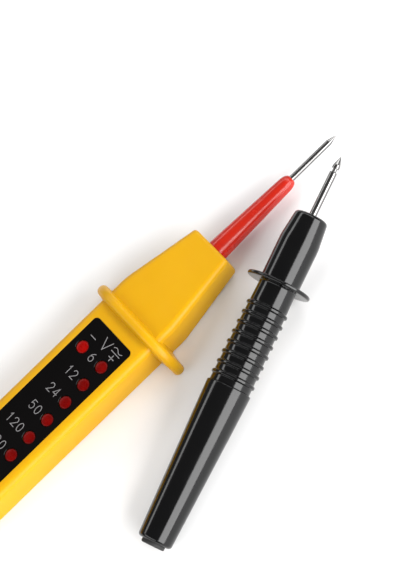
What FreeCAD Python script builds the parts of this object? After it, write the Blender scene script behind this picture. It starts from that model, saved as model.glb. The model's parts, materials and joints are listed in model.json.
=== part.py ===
import FreeCAD, Part
import Sketcher
import math
import os

# Two-pole LED voltage tester: a flat-backed hand unit with a fixed test pin, and a separate round probe lying beside it.
# Origin: on the flat back (z = 0), under the centre of the finger guard, on the unit's centre line.
# +Y points to the pin's tip, +X to the right seen from the front, +Z out of the front face. Millimetres.

doc = FreeCAD.newDocument("VoltageTester")
sheet = doc.addObject("Spreadsheet::Sheet", "Sizes")

SIZES = [
    # hand unit housing
    ("body_width", 24.8), ("body_depth", 12.5), ("body_rear", 80.0), ("edge_front", 2.3), ("edge_back", 1.5),
    ("wall", 1.8), ("rear_wall", 3.0), ("taper_start", 7.5), ("head_end", 33.3), ("head_width", 16.1),
    ("head_low", 1.1), ("head_high", 11.2), ("head_edge", 1.8), ("head_hollow_end", 21.0),
    # finger guard of the hand unit
    ("guard_width", 39.3), ("guard_height", 15.3), ("guard_arc", 13.6), ("guard_foot", 1.5), ("guard_rim", 3.5),
    ("guard_root", 4.8), ("guard_rim_round", 1.5), ("guard_back", 0.45),
    # cover
    ("cover_thick", 2.0), ("cover_width", 20.0), ("cover_front", 5.0), ("cover_rear", 76.5), ("cover_gap", 0.15),
    ("boss_dia", 5.4), ("boss_x", 7.0), ("boss_front", 1.0), ("boss_rear", 72.6), ("pilot_dia", 2.1),
    # label panel and lamps
    ("panel_width", 17.8), ("panel_near", 6.9), ("panel_far", 67.9), ("panel_thick", 0.5), ("panel_corner", 1.5),
    ("lamp_x", 4.8), ("lamp_first", 16.6), ("lamp_pitch", 7.62), ("lamp_dia", 4.2), ("lamp_hole", 4.4),
    ("lamp_flange", 4.8), ("lamp_flange_thick", 1.0), ("lamp_top", 12.45), ("leg_side", 0.5), ("leg_pitch", 2.54),
    # circuit board
    ("board_width", 18.6), ("board_near", 8.0), ("board_far", 68.0), ("board_low", 6.0), ("board_thick", 1.2),
    ("board_boss", 4.6), ("board_screw_x", 3.0), ("board_screw_near", 11.3), ("board_screw_far", 60.8),
    ("resistor_dia", 2.5), ("resistor_long", 6.5), ("diode_dia", 2.6), ("diode_long", 5.2),
    ("zener_dia", 1.9), ("zener_long", 3.9), ("wire_dia", 0.6), ("row_x", 2.9), ("part_gap", 3.7),
    ("resistor_first", 20.6), ("diode_first", 43.4), ("zener_x", 7.7), ("transistor_wide", 4.6), ("transistor_thick", 3.4),
    ("transistor_y", 37.4),
    # pin, sleeve and terminal of the hand unit
    ("pin_height", 5.0), ("pin_dia", 2.0), ("pin_shank", 3.0), ("pin_tip", 84.0), ("pin_cone", 3.1),
    ("pin_back", 14.0), ("pin_step", 56.0), ("sleeve_end", 65.0), ("sleeve_base", 7.05), ("sleeve_nose", 4.95),
    ("sleeve_shank", 6.0), ("sleeve_back", 17.0), ("sleeve_round", 2.8), ("sleeve_mouth", 2.5),
    ("terminal_dia", 4.4), ("terminal_front", 16.5), ("terminal_back", 9.0), ("strip_wide", 3.0), ("strip_thick", 0.6),
    # lead inlet of the hand unit
    ("gland_bore", 3.6), ("gland_neck", 6.8), ("gland_flange", 9.0), ("gland_lip", 1.4), ("gland_height", 6.25),
    # round probe, lengths measured from the middle of its guard disc
    ("nose_end", 23.2), ("nose_dia", 10.5), ("nose_full", 14.5), ("nose_dia_full", 12.5), ("nose_chamfer", 1.2),
    ("disc_dia", 20.4), ("disc_thick", 1.2), ("grip_dia", 11.8), ("grip_dia_end", 13.0), ("grip_end", 34.0),
    ("ring_first", 7.54), ("ring_pitch", 3.31), ("ring_wide", 1.2), ("ring_dia_first", 13.3), ("ring_dia_last", 14.0),
    ("spigot_dia", 9.6), ("spigot_end", 45.2), ("handle_bore", 6.4), ("nose_bore", 3.1), ("nose_bore_start", 8.0),
    ("tail_dia", 14.2), ("tail_dia_mid", 13.5), ("tail_mid", 46.0), ("tail_dia_end", 11.0), ("tail_end", 85.0),
    ("tail_bore", 9.8), ("tail_bore_rear", 7.6), ("tail_wall_rear", 3.0), ("tail_round", 1.6),
    ("probe_pin_dia", 2.4), ("probe_pin_shank", 3.0), ("probe_pin_back", 0.0), ("probe_tip", 43.5),
    ("barb_long", 4.1), ("neck_dia", 1.4), ("neck_long", 1.0), ("socket_dia", 6.2), ("socket_front", 7.0),
    ("socket_back", 13.0), ("cup_bore", 2.6), ("cup_deep", 6.0), ("inlet_bore", 3.6), ("inlet_neck", 6.0),
    ("inlet_flange", 7.4), ("inlet_lip", 1.2),
    ("probe_x", 25.83), ("probe_y", 38.94), ("probe_z", 10.23), ("probe_yaw", 20.53), ("probe_pitch", 3.16),
]


class Q:
    """A size with its spreadsheet expression, so that a feature can be both drawn and bound."""

    def __init__(self, value, text):
        self.v, self.e = float(value), text

    @staticmethod
    def of(other):
        return other if isinstance(other, Q) else Q(other, repr(float(other)))

    def __add__(self, o):
        o = Q.of(o)
        return Q(self.v + o.v, "(%s + %s)" % (self.e, o.e))

    __radd__ = __add__

    def __sub__(self, o):
        o = Q.of(o)
        return Q(self.v - o.v, "(%s - %s)" % (self.e, o.e))

    def __rsub__(self, o):
        return Q.of(o) - self

    def __mul__(self, o):
        o = Q.of(o)
        return Q(self.v * o.v, "(%s * %s)" % (self.e, o.e))

    __rmul__ = __mul__

    def __truediv__(self, o):
        o = Q.of(o)
        return Q(self.v / o.v, "(%s / %s)" % (self.e, o.e))

    def __neg__(self):
        return Q(0, "0") - self


class Namespace:
    pass


z = Namespace()
for row, (alias, value) in enumerate(SIZES, start=1):
    sheet.set("A%d" % row, alias.replace("_", " "))
    sheet.set("B%d" % row, str(value))
    sheet.setAlias("B%d" % row, alias)
    setattr(z, alias, Q(value, "Sizes.%s" % alias))
doc.recompute()


def val(q):
    return q.v if isinstance(q, Q) else float(q)


def bind(obj, prop, q):
    if isinstance(q, Q):
        obj.setExpression(prop, q.e)


def new_body(label):
    body = doc.addObject("PartDesign::Body", label)
    body.Label = label
    return body


def new_sketch(body, name, plane, offset=None):
    """A sketch on one of the body's own origin planes, moved along the plane's normal by offset."""
    sk = body.newObject("Sketcher::SketchObject", name)
    support = [f for f in body.Origin.OriginFeatures if f.Role == plane][0]
    sk.AttachmentSupport = [(support, "")]
    sk.MapMode = "FlatFace"
    if offset is not None:
        sk.AttachmentOffset = FreeCAD.Placement(V(0, 0, val(offset)), FreeCAD.Rotation())
        bind(sk, "AttachmentOffset.Base.z", offset)
    return sk


V = FreeCAD.Vector


def place(sk, geo, point, x, y):
    """Fix one point of a sketch at (x, y) from the sketch's origin."""
    for kind, axis, q in (("DistanceX", -2, x), ("DistanceY", -1, y)):
        if abs(val(q)) < 1e-9:
            sk.addConstraint(Sketcher.Constraint("PointOnObject", geo, point, axis))
        else:
            i = sk.addConstraint(Sketcher.Constraint(kind, -1, 1, geo, point, val(q)))
            bind(sk, "Constraints[%d]" % i, q)


def polygon(body, name, points, plane="XY_Plane", offset=None):
    sk = new_sketch(body, name, plane, offset)
    n = len(points)
    for i in range(n):
        a, b = points[i], points[(i + 1) % n]
        sk.addGeometry(Part.LineSegment(V(val(a[0]), val(a[1]), 0), V(val(b[0]), val(b[1]), 0)), False)
    for i in range(n):
        sk.addConstraint(Sketcher.Constraint("Coincident", i, 2, (i + 1) % n, 1))
    for i in range(n):
        place(sk, i, 1, *points[i])
    return sk


def circles(body, name, plane, offset, items):
    sk = new_sketch(body, name, plane, offset)
    for x, y, dia in items:
        g = sk.addGeometry(Part.Circle(V(val(x), val(y), 0), V(0, 0, 1), val(dia) / 2), False)
        place(sk, g, 3, x, y)
        i = sk.addConstraint(Sketcher.Constraint("Diameter", g, val(dia)))
        bind(sk, "Constraints[%d]" % i, dia)
    return sk


def round_rect(body, name, plane, offset, left, right, low, high, r_low, r_high):
    """A rectangle with one radius at its two low corners and another at its two high corners."""
    sk = new_sketch(body, name, plane, offset)
    l, r, b, t, rl, rh = (val(q) for q in (left, right, low, high, r_low, r_high))
    up = V(0, 0, 1)
    sk.addGeometry(Part.LineSegment(V(l + rl, b, 0), V(r - rl, b, 0)), False)
    sk.addGeometry(Part.ArcOfCircle(Part.Circle(V(r - rl, b + rl, 0), up, rl), -math.pi / 2, 0), False)
    sk.addGeometry(Part.LineSegment(V(r, b + rl, 0), V(r, t - rh, 0)), False)
    sk.addGeometry(Part.ArcOfCircle(Part.Circle(V(r - rh, t - rh, 0), up, rh), 0, math.pi / 2), False)
    sk.addGeometry(Part.LineSegment(V(r - rh, t, 0), V(l + rh, t, 0)), False)
    sk.addGeometry(Part.ArcOfCircle(Part.Circle(V(l + rh, t - rh, 0), up, rh), math.pi / 2, math.pi), False)
    sk.addGeometry(Part.LineSegment(V(l, t - rh, 0), V(l, b + rl, 0)), False)
    sk.addGeometry(Part.ArcOfCircle(Part.Circle(V(l + rl, b + rl, 0), up, rl), math.pi, 1.5 * math.pi), False)
    for i in range(8):
        j = (i + 1) % 8
        sk.addConstraint(Sketcher.Constraint("Tangent", i, 2, j, 1))
    sk.addConstraint(Sketcher.Constraint("Horizontal", 0))
    sk.addConstraint(Sketcher.Constraint("Horizontal", 4))
    sk.addConstraint(Sketcher.Constraint("Vertical", 2))
    sk.addConstraint(Sketcher.Constraint("Vertical", 6))
    sk.addConstraint(Sketcher.Constraint("Equal", 1, 7))
    sk.addConstraint(Sketcher.Constraint("Equal", 3, 5))
    for kind, geo, q in (("Radius", 1, r_low), ("Radius", 3, r_high)):
        i = sk.addConstraint(Sketcher.Constraint(kind, geo, val(q)))
        bind(sk, "Constraints[%d]" % i, q)
    for kind, geo, q in (("DistanceX", 2, right), ("DistanceX", 6, left), ("DistanceY", 0, low), ("DistanceY", 4, high)):
        if abs(val(q)) < 1e-9:
            sk.addConstraint(Sketcher.Constraint("PointOnObject", geo, 1, -1 if kind == "DistanceY" else -2))
        else:
            i = sk.addConstraint(Sketcher.Constraint(kind, -1, 1, geo, 1, val(q)))
            bind(sk, "Constraints[%d]" % i, q)
    return sk


def settle(body, feature, grows=None):
    """Recompute, and check that the feature added to or cut from the body as intended."""
    before = settle.volume.get(body.Name, 0.0)
    doc.recompute()
    after = body.Shape.Volume
    if not feature.isValid() or "Invalid" in feature.State:
        raise RuntimeError("%s of %s failed: %s" % (feature.Name, body.Label, feature.getStatusString()))
    if not feature.Shape.isValid():
        raise RuntimeError("%s of %s gives a bad shape" % (feature.Name, body.Label))
    if grows is True and after <= before + 1e-6:
        raise RuntimeError("%s of %s adds nothing" % (feature.Name, body.Label))
    if grows is False and after >= before - 1e-6:
        raise RuntimeError("%s of %s cuts nothing" % (feature.Name, body.Label))
    settle.volume[body.Name] = after
    return feature


settle.volume = {}


def pad(body, sk, length, midplane=False, reverse=False):
    f = body.newObject("PartDesign::Pad", "Pad")
    f.Profile = sk
    f.Length = val(length)
    bind(f, "Length", length)
    f.Midplane = midplane
    f.Reversed = reverse
    return settle(body, f, True)


def pocket(body, sk, length, reverse=False, midplane=False):
    f = body.newObject("PartDesign::Pocket", "Pocket")
    f.Profile = sk
    f.Length = val(length)
    bind(f, "Length", length)
    f.Reversed = reverse
    f.Midplane = midplane
    return settle(body, f, False)


def loft(body, sketches, add=True):
    f = body.newObject("PartDesign::AdditiveLoft" if add else "PartDesign::SubtractiveLoft", "Loft")
    f.Profile = sketches[0]
    f.Sections = sketches[1:]
    f.Ruled = True
    return settle(body, f, add)


def revolve(body, sk):
    f = body.newObject("PartDesign::Revolution", "Revolution")
    f.Profile = sk
    f.ReferenceAxis = (sk, ["V_Axis"])
    f.Angle = 360
    return settle(body, f, True)


def edges_of(feature, test):
    """Names of the feature's edges whose box passes the test (called with the box and the edge)."""
    out = []
    for i, e in enumerate(feature.Shape.Edges, start=1):
        if test(e.BoundBox, e):
            out.append("Edge%d" % i)
    return out


def fillet(body, base, names, radius):
    f = body.newObject("PartDesign::Fillet", "Fillet")
    f.Base = (base, names)
    f.Radius = val(radius)
    bind(f, "Radius", radius)
    doc.recompute()
    if not f.isValid() or f.Shape.isNull():
        raise RuntimeError("the fillet of %s failed" % body.Label)
    settle.volume[body.Name] = body.Shape.Volume
    return f


def chamfer(body, base, names, size):
    f = body.newObject("PartDesign::Chamfer", "Chamfer")
    f.Base = (base, names)
    f.Size = val(size)
    bind(f, "Size", size)
    doc.recompute()
    if not f.isValid() or f.Shape.isNull():
        raise RuntimeError("the chamfer of %s failed" % body.Label)
    settle.volume[body.Name] = body.Shape.Volume
    return f


def circle_at(y=None, zc=None, radius=None, tol=0.02):
    def test(box, e):
        if not hasattr(e.Curve, "Radius"):
            return False
        if radius is not None and abs(e.Curve.Radius - val(radius)) > tol:
            return False
        if y is not None and (abs(box.YMin - val(y)) > tol or abs(box.YMax - val(y)) > tol):
            return False
        if zc is not None and (abs(box.ZMin - val(zc)) > tol or abs(box.ZMax - val(zc)) > tol):
            return False
        return True

    return test


exported = {}


def keep(label, obj):
    obj.Label = label
    exported[label] = obj


def compound(label, shapes):
    """A group of identical loose pieces, as separate solids in one node."""
    f = doc.addObject("Part::Feature", label + "_group")
    f.Shape = Part.makeCompound(shapes)
    keep(label, f)
    return f


def moved(shape, x=0.0, y=0.0, zz=0.0):
    s = shape.copy()
    s.translate(V(val(x), val(y), val(zz)))
    return s


half = z.body_width / 2
hollow = z.cover_width / 2 + z.cover_gap
roof = z.body_depth - z.wall
lamps = [(-z.lamp_x, z.lamp_first), (z.lamp_x, z.lamp_first)] + [
    (z.lamp_x, z.lamp_first + z.lamp_pitch * k) for k in range(1, 7)
]
screw_spots = [(sx * z.boss_x, y) for sx in (-1, 1) for y in (z.boss_front, -z.boss_rear)]
board_spots = [(-z.board_screw_x, -z.board_screw_near), (-z.board_screw_x, -z.board_screw_far)]

# ---- front housing: one moulding with the body, the finger guard and the tapered head ---------------------------------
housing = new_body("front_housing_body")


def section(y, inset):
    """Outline of the moulding at a distance y along the unit, drawn in by inset where the ends are rounded."""
    k = 0.0 if y.v <= z.taper_start.v else (y.v - z.taper_start.v) / (z.head_end.v - z.taper_start.v)
    if k:
        k = (y - z.taper_start) / (z.head_end - z.taper_start)
    w = half + (z.head_width / 2 - half) * k - inset
    low = z.head_low * k + inset
    high = z.body_depth + (z.head_high - z.body_depth) * k - inset
    r_high = z.edge_front + (z.head_edge - z.edge_front) * k - inset * 0.6
    return round_rect(housing, "Section", "XZ_Plane", -y, -w, w, low, high, z.edge_back - inset * 0.6, r_high)


stations = [(-z.body_rear, 1.0), (-z.body_rear + 0.13, 0.5), (-z.body_rear + 0.5, 0.13), (-z.body_rear + 1.0, 0.0), (z.taper_start, 0.0),
            (z.head_end - 1.0, 0.0), (z.head_end - 0.5, 0.13), (z.head_end - 0.13, 0.5), (z.head_end, 1.0)]
outer = loft(housing, [section(y, inset) for y, inset in stations])
g = round_rect(housing, "GuardOutline", "XZ_Plane", z.guard_back, -z.guard_width / 2, z.guard_width / 2, 0, z.guard_height,
               z.guard_foot, z.guard_arc)
guard = pad(housing, g, z.guard_rim, midplane=True)
rim = edges_of(guard, lambda b, e: abs(b.YMin - b.YMax) < 0.01 and abs(abs(b.YMin + z.guard_back.v) - z.guard_rim.v / 2) < 0.01
               and max(abs(b.XMin), abs(b.XMax), b.ZMax * 1.27 if b.ZMax > z.body_depth.v + 0.5 else 0) > z.guard_width.v / 2 - 5
               and not (abs(b.ZMax) < 0.01))
rim = [n for n in rim if guard.Shape.getElement(n).BoundBox.ZMax > z.body_depth.v + 0.5
       or max(abs(guard.Shape.getElement(n).BoundBox.XMin), abs(guard.Shape.getElement(n).BoundBox.XMax)) > half.v + 2]
guard = fillet(housing, guard, rim, z.guard_rim_round)
for sign in (1, -1):
    inset = 1.7
    a = round_rect(housing, "GuardFace", "XZ_Plane", z.guard_back + z.guard_rim / 2 * (-sign), -(z.guard_width / 2 - inset),
                   z.guard_width / 2 - inset, 0.02, z.guard_height - inset, z.guard_foot, z.guard_arc - inset)
    b = round_rect(housing, "GuardRoot", "XZ_Plane", z.guard_back + z.guard_root / 2 * (-sign), -(half + 0.3), half + 0.3, 0.02,
                   z.body_depth + 0.3, z.guard_foot, 3.0)
    loft(housing, [a, b])
cav = round_rect(housing, "Hollow", "XY_Plane", None, -hollow, hollow, -(z.body_rear - z.rear_wall), z.cover_front + z.cover_gap,
                 1.6, 1.6)
pocket(housing, cav, roof, reverse=True)
h1 = round_rect(housing, "HeadHollowRear", "XZ_Plane", -(z.cover_front - 0.5), -hollow + 0.6, hollow - 0.6, z.wall + 0.1, roof - 0.4, 1.0, 1.2)
h2 = round_rect(housing, "HeadHollowFront", "XZ_Plane", -z.head_hollow_end, -(z.head_width / 2 - 0.4), z.head_width / 2 - 0.4,
                z.wall + 0.2, z.head_high - 1.6, 1.0, 1.2)
loft(housing, [h1, h2], add=False)
pad(housing, circles(housing, "CoverBosses", "XY_Plane", z.cover_thick, [(x, y, z.boss_dia) for x, y in screw_spots]),
    roof - z.cover_thick + 0.2)
pad(housing, circles(housing, "BoardBosses", "XY_Plane", z.board_low + z.board_thick,
                     [(x, y, z.board_boss) for x, y in board_spots]), roof - z.board_low - z.board_thick + 0.2)
pocket(housing, circles(housing, "CoverPilots", "XY_Plane", z.cover_thick, [(x, y, z.pilot_dia) for x, y in screw_spots]),
       7.0, reverse=True)
pocket(housing, circles(housing, "BoardPilots", "XY_Plane", z.board_low + z.board_thick,
                        [(x, y, z.pilot_dia) for x, y in board_spots]), 3.6, reverse=True)
seat = round_rect(housing, "PanelSeat", "XY_Plane", z.body_depth - z.panel_thick, -(z.panel_width / 2 + 0.05),
                  z.panel_width / 2 + 0.05, -(z.panel_far + 0.05), -(z.panel_near - 0.05), z.panel_corner + 0.05, z.panel_corner + 0.05)
pocket(housing, seat, z.panel_thick + 0.5, reverse=True)
pocket(housing, circles(housing, "LampHoles", "XY_Plane", roof - 0.5, [(x, -y, z.lamp_hole + 0.6) for x, y in lamps]),
       z.wall + 1.0, reverse=True)
pocket(housing, circles(housing, "NoseBore", "XZ_Plane", -(z.head_hollow_end - 1.0), [(0, z.pin_height, z.sleeve_shank + 0.1)]),
       z.head_end - z.head_hollow_end + 2.0)
pocket(housing, circles(housing, "LeadHole", "XZ_Plane", z.body_rear + 1.0, [(0, z.gland_height, z.gland_neck + 0.2)]),
       z.rear_wall + 2.0)
keep("front_housing", housing)

# ---- rear cover: flush plate let into the back, four countersunk screws ------------------------------------------------
cover = new_body("rear_cover_body")
plate = pad(cover, round_rect(cover, "CoverOutline", "XY_Plane", None, -z.cover_width / 2, z.cover_width / 2, -z.cover_rear,
                              z.cover_front, 1.5, 1.5), z.cover_thick)
holes = pocket(cover, circles(cover, "ScrewHoles", "XY_Plane", None, [(x, y, z.pilot_dia + 0.4) for x, y in screw_spots]),
               z.cover_thick, reverse=True)
sinks = edges_of(holes, circle_at(zc=0, radius=(z.pilot_dia.v + 0.4) / 2))
chamfer(cover, holes, sinks, 0.95)
keep("rear_cover", cover)

# ---- label panel: thin black plate let into the front face ------------------------------------------------------------
panel = new_body("label_panel_body")
pad(panel, round_rect(panel, "PanelOutline", "XY_Plane", z.body_depth - z.panel_thick, -z.panel_width / 2, z.panel_width / 2,
                      -z.panel_far, -z.panel_near, z.panel_corner, z.panel_corner), z.panel_thick)
pocket(panel, circles(panel, "LampWindows", "XY_Plane", z.body_depth - z.panel_thick - 0.1,
                      [(x, -y, z.lamp_hole) for x, y in lamps]), z.panel_thick + 0.2, reverse=True)
keep("label_panel", panel)

# ---- circuit board with holes for its screws and the lamps' legs ------------------------------------------------------
board = new_body("circuit_board_body")
pad(board, round_rect(board, "BoardOutline", "XY_Plane", z.board_low, -z.board_width / 2, z.board_width / 2, -z.board_far,
                      -z.board_near, 1.0, 1.0), z.board_thick)
legs = [(x, -y + sign * z.leg_pitch / 2, 0.9) for x, y in lamps for sign in (-1, 1)]
pocket(board, circles(board, "LegHoles", "XY_Plane", z.board_low - 0.1, legs), z.board_thick + 0.2, reverse=True)
pocket(board, circles(board, "ScrewHoles", "XY_Plane", z.board_low - 0.1, [(x, y, z.pilot_dia + 0.4) for x, y in board_spots]),
       z.board_thick + 0.2, reverse=True)
keep("circuit_board", board)

# ---- lamps: one LED drawn once, then a pair for polarity and a column of six for the voltage steps -----------------------
lens = doc.addObject("Part::Cylinder", "LampLens")
lens.Radius = z.lamp_dia.v / 2
bind(lens, "Radius", z.lamp_dia / 2)
lens.Height = z.lamp_top.v - z.board_low.v - z.board_thick.v
bind(lens, "Height", z.lamp_top - z.board_low - z.board_thick)
flange = doc.addObject("Part::Cylinder", "LampFlange")
bind(flange, "Radius", z.lamp_flange / 2)
bind(flange, "Height", z.lamp_flange_thick)
leg_solids = []
for sign in (-1, 1):
    leg = doc.addObject("Part::Box", "LampLeg")
    bind(leg, "Length", z.leg_side)
    bind(leg, "Width", z.leg_side)
    bind(leg, "Height", z.board_thick + 1.6)
    bind(leg, "Placement.Base.x", -z.leg_side / 2)
    bind(leg, "Placement.Base.y", sign * z.leg_pitch / 2 - z.leg_side / 2)
    bind(leg, "Placement.Base.z", -(z.board_thick + 1.5))
    leg_solids.append(leg)
lamp_raw = doc.addObject("Part::MultiFuse", "LampRaw")
lamp_raw.Shapes = [lens, flange] + leg_solids
doc.recompute()
lamp = doc.addObject("Part::Fillet", "Lamp")
lamp.Base = lamp_raw
top_edge = [i for i, e in enumerate(lamp_raw.Shape.Edges, start=1)
            if hasattr(e.Curve, "Radius") and abs(e.BoundBox.ZMin - lens.Height.Value) < 0.01]
lamp.Edges = [(i, 0.9, 0.9) for i in top_edge]
doc.recompute()
lamp_base = z.board_low.v + z.board_thick.v
spots = [moved(lamp.Shape, x, -y, lamp_base) for x, y in lamps]
compound("polarity_leds", spots[:2])
compound("voltage_leds", spots[2:])


# ---- parts on the back of the board: two-lead axial parts lie across it, their wires bent up to the board -----------------
def axial(name, dia, length, span):
    """An axial part lying along X under the board, centred on its own axis."""
    rise = dia / 2 + 0.05
    core = doc.addObject("Part::Cylinder", name + "Core")
    bind(core, "Radius", dia / 2)
    bind(core, "Height", length)
    turn = FreeCAD.Rotation(V(0, 1, 0), 90)
    core.Placement = FreeCAD.Placement(V(-val(length) / 2, 0, 0), turn)
    wire = doc.addObject("Part::Cylinder", name + "Wire")
    bind(wire, "Radius", z.wire_dia / 2)
    bind(wire, "Height", span)
    wire.Placement = FreeCAD.Placement(V(-val(span) / 2, 0, 0), turn)
    rises = []
    for sign in (-1, 1):
        up = doc.addObject("Part::Cylinder", name + "Rise")
        bind(up, "Radius", z.wire_dia / 2 - 0.04)
        bind(up, "Height", rise)
        d = sign * (val(span) / 2 - z.wire_dia.v / 2 - 0.06)
        up.Placement = FreeCAD.Placement(V(d, 0, 0), FreeCAD.Rotation())
        rises.append(up)
    whole = doc.addObject("Part::MultiFuse", name)
    whole.Shapes = [core, wire] + rises
    doc.recompute()
    return whole, z.board_low.v - val(rise)


resistor, rz = axial("Resistor", z.resistor_dia, z.resistor_long, Q(10.2, "10.2"))
compound("dropper_resistors", [moved(resistor.Shape, -z.row_x, -(z.resistor_first + z.part_gap * k), rz) for k in range(4)])
diode, dz = axial("Diode", z.diode_dia, z.diode_long, Q(10.2, "10.2"))
compound("rectifier_diodes", [moved(diode.Shape, -z.row_x, -(z.diode_first + z.part_gap * k), dz) for k in range(4)])
zener, zz = axial("Zener", z.zener_dia, z.zener_long, Q(6.8, "6.8"))
upright = zener.Shape.copy()
upright.rotate(V(0, 0, 0), V(0, 0, 1), 90)
compound("zener_diodes", [moved(upright, z.zener_x, -(z.lamp_first + z.lamp_pitch * (k + 0.5)), zz) for k in range(6)])

# transistors lie flat with their round side away from the board
tr = new_body("transistor_body")
w2 = z.transistor_wide / 2
case = round_rect(tr, "TransistorEnd", "XZ_Plane", None, -w2, w2, -z.transistor_thick, 0, 1.6, 0.1)
pad(tr, case, z.transistor_wide, midplane=True)
tleg = polygon(tr, "TransistorLegs", [(w2 - 0.3, -1.35), (w2 + 1.6, -1.35), (w2 + 1.6, 0.0), (w2 + 1.15, 0.0), (w2 + 1.15, -0.9),
                                      (w2 - 0.3, -0.9)], "YZ_Plane")
pad(tr, tleg, Q(0.45, "0.45"), midplane=True)
for sign in (-1, 1):
    side_leg = polygon(tr, "TransistorSideLegs", [(w2 - 0.3, -1.35), (w2 + 1.6, -1.35), (w2 + 1.6, 0.0), (w2 + 1.15, 0.0),
                                                  (w2 + 1.15, -0.9), (w2 - 0.3, -0.9)], "YZ_Plane", Q(sign * 1.27, repr(sign * 1.27)))
    pad(tr, side_leg, Q(0.45, "0.45"), midplane=True)
compound("limiter_transistors", [moved(tr.Shape, x, -(z.transistor_y + 0.9), z.board_low.v) for x in (-6.3, 0.4)])

# ---- screws ------------------------------------------------------------------------------------------------------------
screw = new_body("cover_screw_body")
revolve(screw, polygon(screw, "CoverScrewProfile", [(0, 0.05), (2.0, 0.05), (2.0, 0.2), (1.05, 1.15), (1.05, 7.4), (0.4, 8.4), (0, 8.4)], "XZ_Plane"))
for n, (a, b) in enumerate(((2.2, 0.5), (0.5, 2.2))):
    slot = round_rect(screw, "Recess", "XY_Plane", None, -a / 2, a / 2, -b / 2, b / 2, 0.1, 0.1)
    pocket(screw, slot, 0.85, reverse=True)
compound("cover_screws", [moved(screw.Shape, x, y, 0) for x, y in screw_spots])

bscrew = new_body("board_screw_body")
revolve(bscrew, polygon(bscrew, "BoardScrewProfile", [(0, -1.3), (1.5, -1.3), (1.9, -0.9), (1.9, 0), (1.05, 0), (1.05, 4.2), (0.4, 4.7),
                                                     (0, 4.7)], "XZ_Plane"))
for n, (a, b) in enumerate(((2.0, 0.5), (0.5, 2.0))):
    slot = round_rect(bscrew, "Recess", "XY_Plane", Q(-1.4, "-1.4"), -a / 2, a / 2, -b / 2, b / 2, 0.1, 0.1)
    pocket(bscrew, slot, 0.8, reverse=True)
compound("board_screws", [moved(bscrew.Shape, x, y, z.board_low.v) for x, y in board_spots])

# ---- test pin, sleeve and terminal of the hand unit: turned about the pin's axis ----------------------------------------
sleeve = new_body("probe_sleeve_body")
nose_start = z.sleeve_end - z.sleeve_round
nose_curve = []
for k in range(9):
    t = math.radians(11.25 * k)
    nose_curve.append((z.sleeve_mouth / 2 + 0.05 + (z.sleeve_nose - z.sleeve_mouth - 0.1) / 2 * round(math.cos(t), 6),
                       nose_start + z.sleeve_round * round(math.sin(t), 6)))
nose_curve = nose_curve[:-1]
revolve(sleeve, polygon(sleeve, "SleeveProfile", [
    (z.pin_shank / 2 + 0.05, z.sleeve_back), (z.sleeve_shank / 2, z.sleeve_back), (z.sleeve_shank / 2, z.head_end),
    (z.sleeve_base / 2, z.head_end)] + nose_curve + [(z.sleeve_mouth / 2, z.sleeve_end),
    (z.sleeve_mouth / 2, z.pin_step), (z.pin_shank / 2 + 0.05, z.pin_step)]))
sleeve.Placement = FreeCAD.Placement(V(0, 0, z.pin_height.v), FreeCAD.Rotation())
bind(sleeve, "Placement.Base.z", z.pin_height)
keep("probe_sleeve", sleeve)

pin = new_body("tester_pin_body")
revolve(pin, polygon(pin, "PinProfile", [
    (0, z.pin_back), (z.pin_shank / 2 - 0.3, z.pin_back), (z.pin_shank / 2, z.pin_back + 0.3), (z.pin_shank / 2, z.pin_step - 0.1),
    (z.sleeve_mouth / 2 - 0.05, z.pin_step - 0.1), (z.sleeve_mouth / 2 - 0.05, z.sleeve_end), (z.pin_dia / 2, z.sleeve_end),
    (z.pin_dia / 2, z.pin_tip - z.pin_cone), (0.15, z.pin_tip - 0.1), (0, z.pin_tip)]))
pin.Placement = FreeCAD.Placement(V(0, 0, z.pin_height.v), FreeCAD.Rotation())
bind(pin, "Placement.Base.z", z.pin_height)
keep("tester_pin", pin)

terminal = new_body("pin_terminal_body")
revolve(terminal, polygon(terminal, "BarrelProfile", [
    (0, z.terminal_back), (z.terminal_dia / 2, z.terminal_back), (z.terminal_dia / 2, z.terminal_front),
    (z.pin_shank / 2 + 0.02, z.terminal_front), (z.pin_shank / 2 + 0.02, z.pin_back - 0.1), (0, z.pin_back - 0.1)]))
pad(terminal, round_rect(terminal, "Tongue", "XY_Plane", z.board_low - z.strip_thick - z.pin_height, -z.strip_wide / 2,
                         z.strip_wide / 2, -(z.board_near + 1.8), z.terminal_back + 1.0, 0.3, 0.3), z.strip_thick)
terminal.Placement = FreeCAD.Placement(V(0, 0, z.pin_height.v), FreeCAD.Rotation())
bind(terminal, "Placement.Base.z", z.pin_height)
keep("pin_terminal", terminal)

# ---- rubber gland where the lead enters the hand unit -------------------------------------------------------------------
gland = new_body("lead_gland_body")
gl = revolve(gland, polygon(gland, "GlandProfile", [
    (z.gland_bore / 2, -(z.body_rear + z.gland_lip)), (z.gland_flange / 2 - 0.6, -(z.body_rear + z.gland_lip)),
    (z.gland_flange / 2, -(z.body_rear + 0.4)), (z.gland_flange / 2, -z.body_rear), (z.gland_neck / 2, -z.body_rear),
    (z.gland_neck / 2, -(z.body_rear - z.rear_wall)), (z.gland_flange / 2 - 0.4, -(z.body_rear - z.rear_wall)),
    (z.gland_flange / 2 - 0.4, -(z.body_rear - z.rear_wall - z.gland_lip)), (z.gland_bore / 2, -(z.body_rear - z.rear_wall - z.gland_lip))]))
gland.Placement = FreeCAD.Placement(V(0, 0, z.gland_height.v), FreeCAD.Rotation())
bind(gland, "Placement.Base.z", z.gland_height)
keep("lead_gland", gland)

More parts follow.
